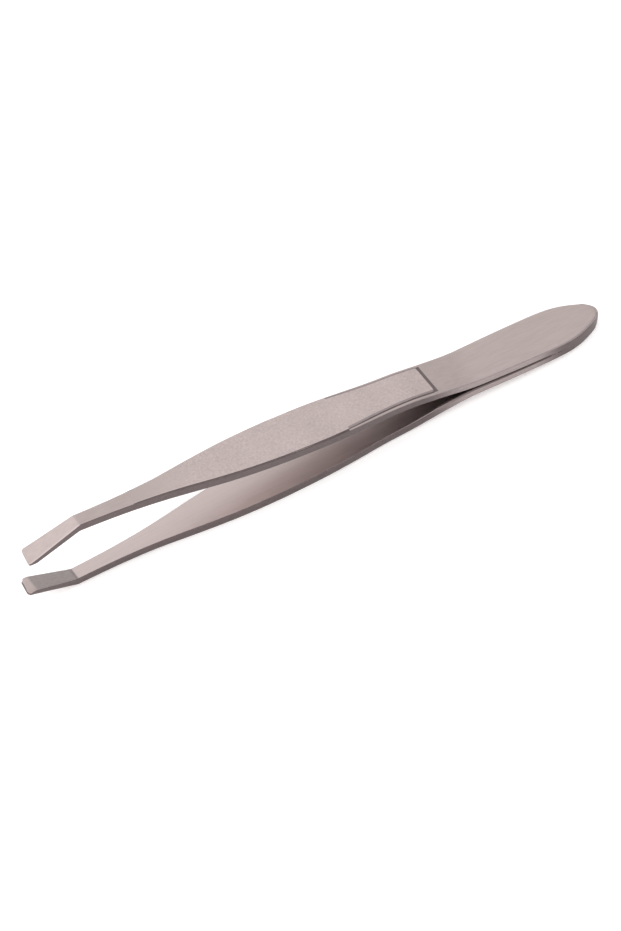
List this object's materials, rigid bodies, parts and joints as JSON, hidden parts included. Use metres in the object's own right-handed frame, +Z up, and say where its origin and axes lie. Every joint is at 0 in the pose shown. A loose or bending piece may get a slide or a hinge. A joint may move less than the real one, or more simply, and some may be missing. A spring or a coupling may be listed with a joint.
{
  "type": "slant tweezers",
  "caption": "Slant tweezers: two mirrored spring-steel leaves welded at a rounded butt, raised grip panels, inward-bent tips with slanted edges; squeezing the grips shuts the tips.",
  "frame": {"origin": "on the surface that the tool lies on, under the middle of its length, on the outer face of the lower grip panel", "axes": "+X towards the butt, +Z up from the surface, -Y the side where the slanted tips reach further forward"},
  "size_m": [0.0951, 0.0072, 0.013],
  "materials": {
    "butt_steel": "satin stainless steel with a tumbled edge",
    "spring_steel": "satin stainless steel, fine lengthwise grain",
    "blade_steel": "satin stainless steel, blasted grip panel and ground tips",
    "weld_steel": "fused steel, not seen from outside"
  },
  "bodies": {
    "butt": {"upper_tail": "butt_steel", "lower_tail": "butt_steel", "weld_nuggets": "weld_steel", "upper_spring": "spring_steel", "lower_spring": "spring_steel"},
    "upper_arm": {"upper_blade": "blade_steel"},
    "lower_arm": {"lower_blade": "blade_steel"}
  },
  "joints": [
    {"name": "upper_arm_flex", "type": "hinge", "parent": "butt", "child": "upper_arm", "pos_m": [0.02855, 0, 0.00321], "axis": [0, -1, 0], "range_deg": [0, 2.3], "stiffness_Nm_per_rad": 2, "deforming": ["upper_spring"]},
    {"name": "lower_arm_flex", "type": "hinge", "parent": "butt", "child": "lower_arm", "pos_m": [0.02845, 0, 0.00171], "axis": [0, 1, 0], "range_deg": [0, 2.3], "stiffness_Nm_per_rad": 2, "deforming": ["lower_spring"]}
  ],
  "couplings": [
    {"joint": "lower_arm_flex", "follows": "upper_arm_flex", "ratio": 1}
  ]
}
